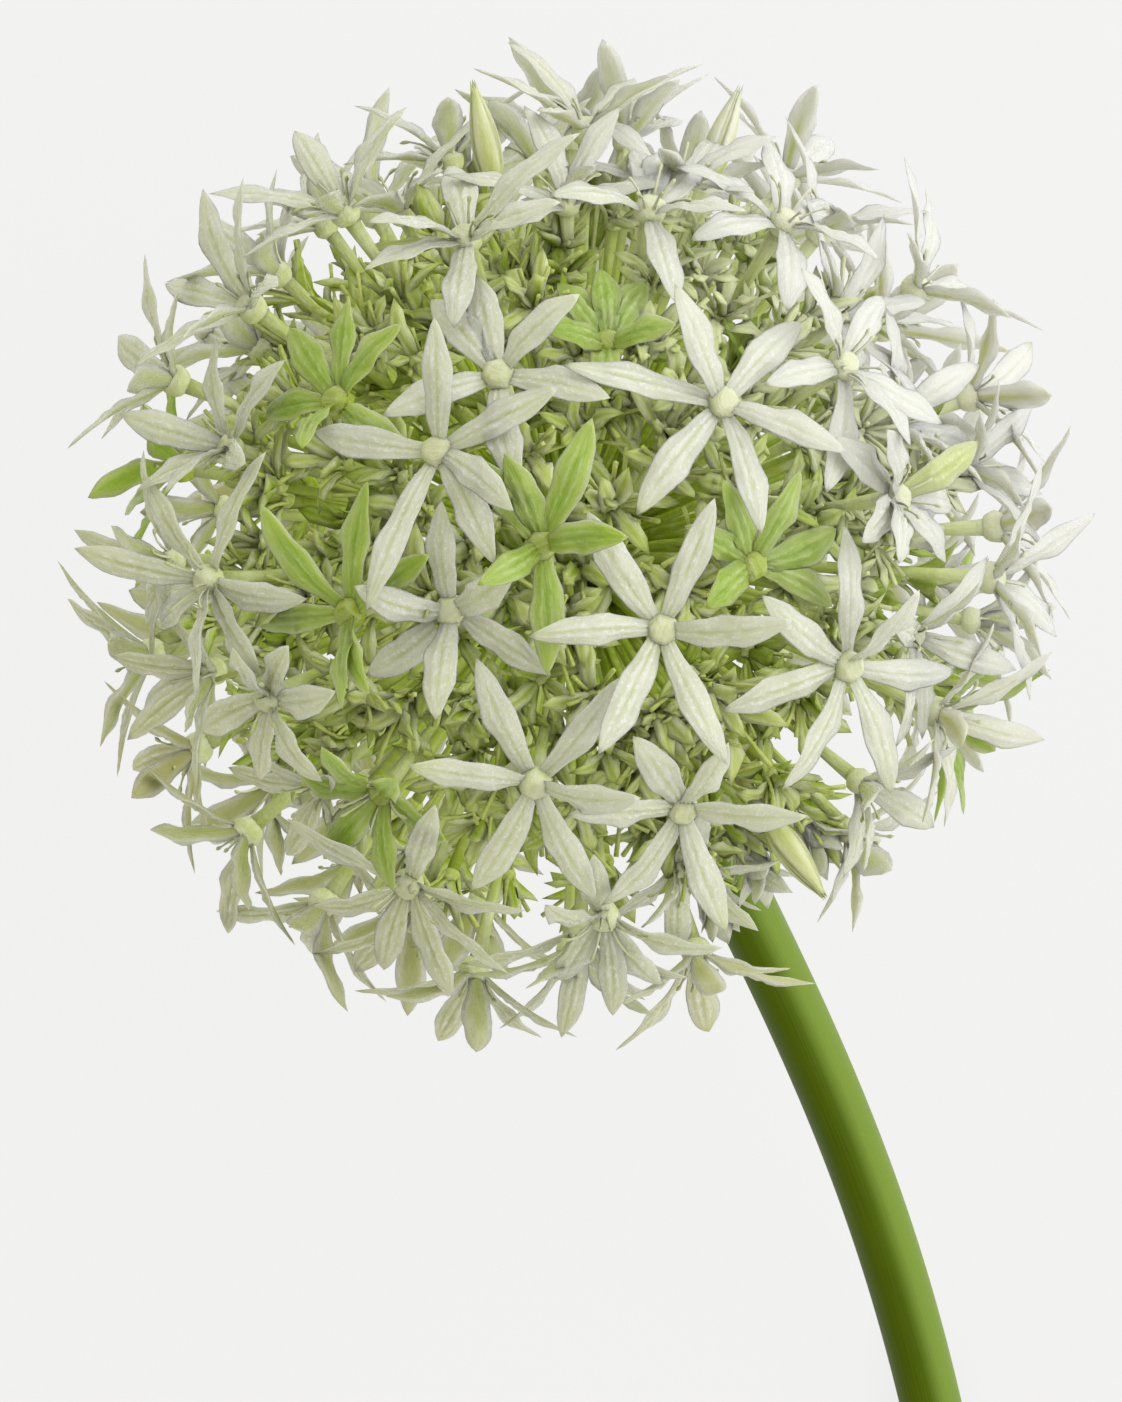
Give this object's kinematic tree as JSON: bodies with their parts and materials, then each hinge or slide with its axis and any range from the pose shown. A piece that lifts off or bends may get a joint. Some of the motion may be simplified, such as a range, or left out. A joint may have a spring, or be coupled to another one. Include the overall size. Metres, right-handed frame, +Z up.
{
  "type": "garlic flower head",
  "caption": "Round ornamental garlic flower head lying on its side: a ball of white and green six-petalled star florets on thin stalks, on a cut green stem.",
  "frame": {"origin": "middle of the bounding box's footprint, on the surface that the flower head lies on", "axes": "+Z is up; the cut stem runs from the ball of florets towards -Y, and the ball is at the +Y end"},
  "size_m": [0.1128, 0.1746, 0.1051],
  "materials": {
    "petal_white": "silky, slightly translucent petal",
    "petal_cream": "silky, slightly translucent petal",
    "petal_green": "waxy young petal",
    "bud_green": "waxy closed petals",
    "pedicel_green": "smooth fresh stalk",
    "receptacle_green": "matte fresh tissue",
    "stem_green": "smooth, faint waxy sheen"
  },
  "bodies": {
    "root": {"stem": "stem_green", "receptacle": "receptacle_green", "floret_01": "petal_white", "floret_02": "petal_white", "floret_03": "petal_white", "floret_04": "petal_white", "floret_05": "petal_white", "floret_06": "petal_white", "floret_07": "petal_white", "floret_08": "petal_white", "floret_09": "petal_white", "floret_10": "petal_white", "floret_11": "petal_white", "floret_12": "petal_white", "floret_13": "petal_white", "floret_14": "petal_white", "floret_15": "petal_white", "floret_16": "petal_white", "floret_17": "petal_white", "floret_18": "petal_green", "floret_19": "petal_green", "floret_20": "petal_green", "floret_21": "petal_green", "floret_22": "petal_green", "floret_23": "petal_green", "floret_24": "petal_white", "floret_25": "petal_cream", "floret_26": "petal_white", "floret_27": "petal_cream", "floret_28": "petal_cream", "floret_29": "petal_cream", "floret_30": "bud_green", "floret_31": "petal_white", "floret_32": "petal_white", "floret_33": "petal_white", "floret_34": "bud_green", "floret_35": "petal_white", "floret_36": "petal_green", "floret_37": "petal_white", "floret_38": "petal_cream", "floret_39": "petal_white", "floret_40": "petal_white", "floret_41": "petal_white", "floret_42": "bud_green", "floret_43": "petal_white", "floret_44": "petal_white", "floret_45": "petal_green", "floret_46": "petal_white", "floret_47": "petal_cream", "floret_48": "petal_white", "floret_49": "petal_white", "floret_50": "petal_green", "floret_51": "petal_white", "floret_52": "petal_cream", "floret_53": "petal_white", "floret_54": "petal_white", "floret_55": "petal_green", "floret_56": "petal_white", "floret_57": "petal_cream", "floret_58": "petal_white"}
  },
  "joints": []
}
